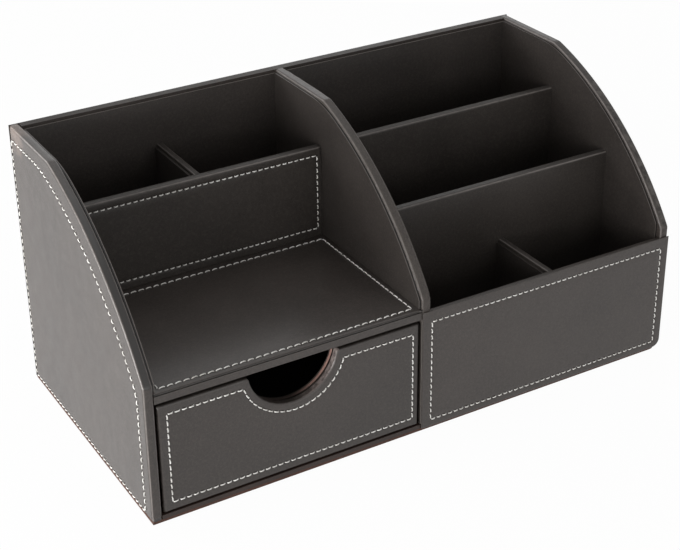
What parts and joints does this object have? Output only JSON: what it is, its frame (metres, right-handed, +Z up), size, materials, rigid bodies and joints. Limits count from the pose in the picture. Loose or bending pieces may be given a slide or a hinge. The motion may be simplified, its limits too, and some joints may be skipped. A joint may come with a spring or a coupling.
{
  "type": "desk organizer with drawer",
  "caption": "Desktop organizer in stitched leatherette: open shelf and divided pockets over a drawer with a finger notch, beside stepped compartments between curved sides.",
  "frame": {"origin": "middle of the underside, which rests on the desk", "axes": "+X from left to right, +Y from the drawer's front to the back, +Z up"},
  "size_m": [0.27, 0.134, 0.1312],
  "materials": {
    "leatherette": "fine-grained dark brown leatherette, satin",
    "inner_lining": "dark brown lining sheet, satin",
    "base_card": "reddish brown board, matte",
    "packing_card": "dark red card, matte",
    "box_card": "board covered with dark paper, raw reddish edge at the notch, matte"
  },
  "bodies": {
    "case": {"left_side_panel": "leatherette", "right_side_panel": "leatherette", "centre_partition": "leatherette", "left_side_liner": "inner_lining", "partition_left_liner": "inner_lining", "partition_right_liner": "inner_lining", "right_side_liner": "inner_lining", "back_panel": "leatherette", "back_cover": "leatherette", "left_back_liner": "inner_lining", "right_back_liner": "inner_lining", "base_sheet": "base_card", "base_board": "leatherette", "shelf_board": "leatherette", "shelf_cover": "leatherette", "riser_panel": "leatherette", "pocket_divider": "leatherette", "pocket_divider_liner": "inner_lining", "right_floor_liner": "inner_lining", "rear_divider": "leatherette", "middle_divider": "leatherette", "front_cross_divider": "leatherette", "cross_divider_liner": "inner_lining", "right_front_board": "leatherette", "right_front_cover": "leatherette"},
    "drawer": {"drawer_front": "leatherette", "drawer_front_packing": "packing_card", "drawer_box_front": "box_card", "drawer_left_side": "box_card", "drawer_right_side": "box_card", "drawer_back": "box_card", "drawer_bottom": "box_card", "drawer_lining": "inner_lining"}
  },
  "joints": [
    {"name": "drawer_slide", "type": "slide", "parent": "case", "child": "drawer", "axis": [0, -1, 0], "range_m": [0, 0.1]}
  ]
}
